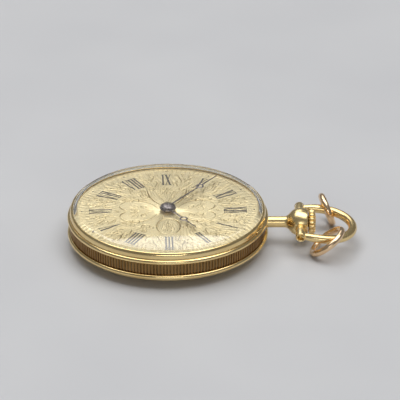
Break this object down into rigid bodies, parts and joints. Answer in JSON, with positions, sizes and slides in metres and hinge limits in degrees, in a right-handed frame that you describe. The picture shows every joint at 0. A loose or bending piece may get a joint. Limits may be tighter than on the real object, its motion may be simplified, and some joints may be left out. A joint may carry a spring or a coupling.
{
  "type": "open face pocket watch",
  "caption": "Small open face pocket watch with a reeded gold case, engraved dial, Roman numerals, keyless lever movement, round bow and two jump rings.",
  "frame": {"origin": "centre of the flat middle of the back, on the case's axis", "axes": "+Z out of the dial, +X towards XII and the pendant, -Y towards III"},
  "size_m": [0.0433, 0.0304, 0.0066],
  "materials": {
    "case_gold": "polished yellow gold",
    "rose_gold": "polished, slightly rosier gold",
    "dial_gold": "pale gilt, matt, engraved with scrolls",
    "hand_steel": "dark polished steel",
    "crystal_glass": "clear glass",
    "plate_nickel": "nickelled, finely striped",
    "movement_steel": "polished steel",
    "blued_steel": "heat blued steel",
    "wheel_brass": "gilt brass",
    "ruby": "polished ruby"
  },
  "bodies": {
    "root": {"case_middle": "case_gold", "bezel_hinge_pin": "case_gold", "back_hinge_pin": "case_gold", "pendant": "case_gold", "bow_screws": "case_gold", "dial": "dial_gold", "dial_screws": "movement_steel", "main_plate": "plate_nickel", "barrel_bridge": "plate_nickel", "train_bridge": "plate_nickel", "balance_cock": "plate_nickel", "pallet_bridge": "plate_nickel", "crown_wheel_core": "movement_steel", "click_spring": "movement_steel", "bridge_screws": "blued_steel", "case_screws": "blued_steel", "jewels": "ruby"},
    "bezel_group": {"bezel": "case_gold", "crystal": "crystal_glass"},
    "back_group": {"back_cover": "case_gold"},
    "cuvette_group": {"cuvette": "case_gold"},
    "bow_group": {"bow": "case_gold"},
    "far_ring_group": {"jump_ring_far": "rose_gold"},
    "near_ring_group": {"jump_ring_near": "rose_gold"},
    "winding_group": {"winding_pinion": "movement_steel"},
    "stem_group": {"winding_stem": "movement_steel", "crown": "case_gold"},
    "clutch_group": {"clutch_wheel": "movement_steel"},
    "setting_lever_group": {"setting_lever": "movement_steel"},
    "yoke_group": {"yoke": "movement_steel"},
    "crown_wheel_group": {"crown_wheel": "movement_steel"},
    "ratchet_group": {"ratchet_wheel": "movement_steel", "ratchet_screw": "movement_steel", "barrel_arbor": "movement_steel"},
    "click_group": {"click": "movement_steel"},
    "barrel_group": {"barrel": "wheel_brass", "barrel_cover": "wheel_brass", "mainspring": "movement_steel"},
    "centre_group": {"centre_wheel": "wheel_brass", "centre_arbor": "movement_steel", "cannon_pinion": "movement_steel", "minute_hand": "hand_steel"},
    "third_group": {"third_wheel": "wheel_brass", "third_arbor": "movement_steel"},
    "fourth_group": {"fourth_wheel": "wheel_brass", "fourth_arbor": "movement_steel"},
    "escape_group": {"escape_wheel": "movement_steel", "escape_arbor": "movement_steel"},
    "lever_group": {"pallet_lever": "movement_steel", "pallet_stones": "ruby"},
    "balance_group": {"balance_wheel": "wheel_brass", "balance_staff": "movement_steel", "roller": "movement_steel", "hairspring": "blued_steel"},
    "regulator_group": {"regulator": "movement_steel"},
    "minute_wheel_group": {"minute_wheel": "wheel_brass"},
    "hour_group": {"hour_wheel": "wheel_brass", "hour_hand": "hand_steel"},
    "setting_wheel_group": {"setting_wheel": "movement_steel"}
  },
  "joints": [
    {"name": "bezel_open", "type": "hinge", "parent": "root", "child": "bezel_group", "pos_m": [0, 0.01504, 0.00481], "axis": [-1, 0, 0], "range_deg": [0, 110]},
    {"name": "back_open", "type": "hinge", "parent": "root", "child": "back_group", "pos_m": [0, 0.01504, 0.0013], "axis": [1, 0, 0], "range_deg": [0, 110]},
    {"name": "cuvette_open", "type": "hinge", "parent": "root", "child": "cuvette_group", "pos_m": [0, 0.01504, 0.0013], "axis": [1, 0, 0], "range_deg": [0, 80]},
    {"name": "bow_swing", "type": "hinge", "parent": "root", "child": "bow_group", "pos_m": [0.01975, 0, 0.0034], "axis": [0, -1, 0], "range_deg": [-100, 115]},
    {"name": "far_ring_swing", "type": "hinge", "parent": "bow_group", "child": "far_ring_group", "pos_m": [0.02399, 0.00473, 0.0029], "axis": [0.9684, -0.2211, -0.1151], "range_deg": [-20, 20]},
    {"name": "near_ring_swing", "type": "hinge", "parent": "bow_group", "child": "near_ring_group", "pos_m": [0.02448, -0.00459, 0.00284], "axis": [0.9401, 0.322, -0.112], "range_deg": [-20, 15]},
    {"name": "crown_turn", "type": "hinge", "parent": "root", "child": "winding_group", "pos_m": [0.0101, 0, 0.0034], "axis": [1, 0, 0], "continuous": true},
    {"name": "crown_pull", "type": "slide", "parent": "winding_group", "child": "stem_group", "axis": [1, 0, 0], "range_m": [0, 0.0006]},
    {"name": "clutch_shift", "type": "slide", "parent": "winding_group", "child": "clutch_group", "axis": [1, 0, 0], "range_m": [-0.0003, 0]},
    {"name": "setting_lever_turn", "type": "hinge", "parent": "root", "child": "setting_lever_group", "pos_m": [0.01085, 0.002, 0.0043], "axis": [0, 0, 1], "range_deg": [0, 17.5]},
    {"name": "yoke_turn", "type": "hinge", "parent": "root", "child": "yoke_group", "pos_m": [0.00942, 0.0025, 0.0043], "axis": [0, 0, 1], "range_deg": [-10.5, 0]},
    {"name": "crown_wheel_turn", "type": "hinge", "parent": "root", "child": "crown_wheel_group", "pos_m": [0.0086, 0, 0.0014], "axis": [0, 0, 1], "continuous": true},
    {"name": "ratchet_turn", "type": "hinge", "parent": "root", "child": "ratchet_group", "pos_m": [0.00333, 0.00396, 0.0014], "axis": [0, 0, 1], "continuous": true},
    {"name": "click_turn", "type": "hinge", "parent": "root", "child": "click_group", "pos_m": [0.00122, 0.00849, 0.0014], "axis": [0, 0, 1], "range_deg": [0, 12], "stiffness_Nm_per_rad": 0.000001},
    {"name": "centre_turn", "type": "hinge", "parent": "root", "child": "centre_group", "pos_m": [0, 0, 0.002], "axis": [0, 0, -1], "continuous": true},
    {"name": "barrel_turn", "type": "hinge", "parent": "root", "child": "barrel_group", "pos_m": [0.00333, 0.00396, 0.0025], "axis": [0, 0, -1], "continuous": true},
    {"name": "third_turn", "type": "hinge", "parent": "root", "child": "third_group", "pos_m": [-0.00435, -0.00116, 0.0023], "axis": [0, 0, -1], "continuous": true},
    {"name": "fourth_turn", "type": "hinge", "parent": "root", "child": "fourth_group", "pos_m": [-0.00341, -0.00465, 0.0027], "axis": [0, 0, -1], "continuous": true},
    {"name": "escape_turn", "type": "hinge", "parent": "root", "child": "escape_group", "pos_m": [-0.00176, -0.00751, 0.0025], "axis": [0, 0, -1], "continuous": true},
    {"name": "minute_wheel_turn", "type": "hinge", "parent": "root", "child": "minute_wheel_group", "pos_m": [0.00248, 0.0009, 0.0043], "axis": [0, 0, -1], "continuous": true},
    {"name": "hour_turn", "type": "hinge", "parent": "root", "child": "hour_group", "pos_m": [0, 0, 0.0045], "axis": [0, 0, -1], "continuous": true},
    {"name": "setting_wheel_turn", "type": "hinge", "parent": "root", "child": "setting_wheel_group", "pos_m": [0.00654, 0.00126, 0.0043], "axis": [0, 0, -1], "continuous": true},
    {"name": "balance_swing", "type": "hinge", "parent": "root", "child": "balance_group", "pos_m": [0.00359, -0.00737, 0.002], "axis": [0, 0, 1], "range_deg": [-270, 270], "stiffness_Nm_per_rad": 0.00000007},
    {"name": "pallet_swing", "type": "hinge", "parent": "root", "child": "lever_group", "pos_m": [0.00054, -0.00745, 0.0025], "axis": [0, 0, 1], "range_deg": [-4, 4]},
    {"name": "regulator_turn", "type": "hinge", "parent": "root", "child": "regulator_group", "pos_m": [0.00359, -0.00737, 0.0013], "axis": [0, 0, 1], "range_deg": [-20, 20]}
  ],
  "couplings": [
    {"joint": "cuvette_open", "follows": "back_open", "ratio": 0.72727},
    {"joint": "clutch_shift", "follows": "crown_pull", "ratio": -0.5},
    {"joint": "setting_lever_turn", "follows": "crown_pull", "rad_per_m": 500},
    {"joint": "yoke_turn", "follows": "crown_pull", "rad_per_m": -300},
    {"joint": "crown_wheel_turn", "follows": "crown_turn", "ratio": 0.75},
    {"joint": "ratchet_turn", "follows": "crown_turn", "ratio": -0.4875},
    {"joint": "barrel_turn", "follows": "centre_turn", "ratio": -0.15385},
    {"joint": "third_turn", "follows": "centre_turn", "ratio": -8},
    {"joint": "fourth_turn", "follows": "centre_turn", "ratio": 60},
    {"joint": "escape_turn", "follows": "centre_turn", "ratio": -600},
    {"joint": "minute_wheel_turn", "follows": "centre_turn", "ratio": -0.33333},
    {"joint": "hour_turn", "follows": "centre_turn", "ratio": 0.083333},
    {"joint": "setting_wheel_turn", "follows": "centre_turn", "ratio": 0.31579},
    {"joint": "pallet_swing", "follows": "balance_swing", "ratio": -0.014815}
  ]
}
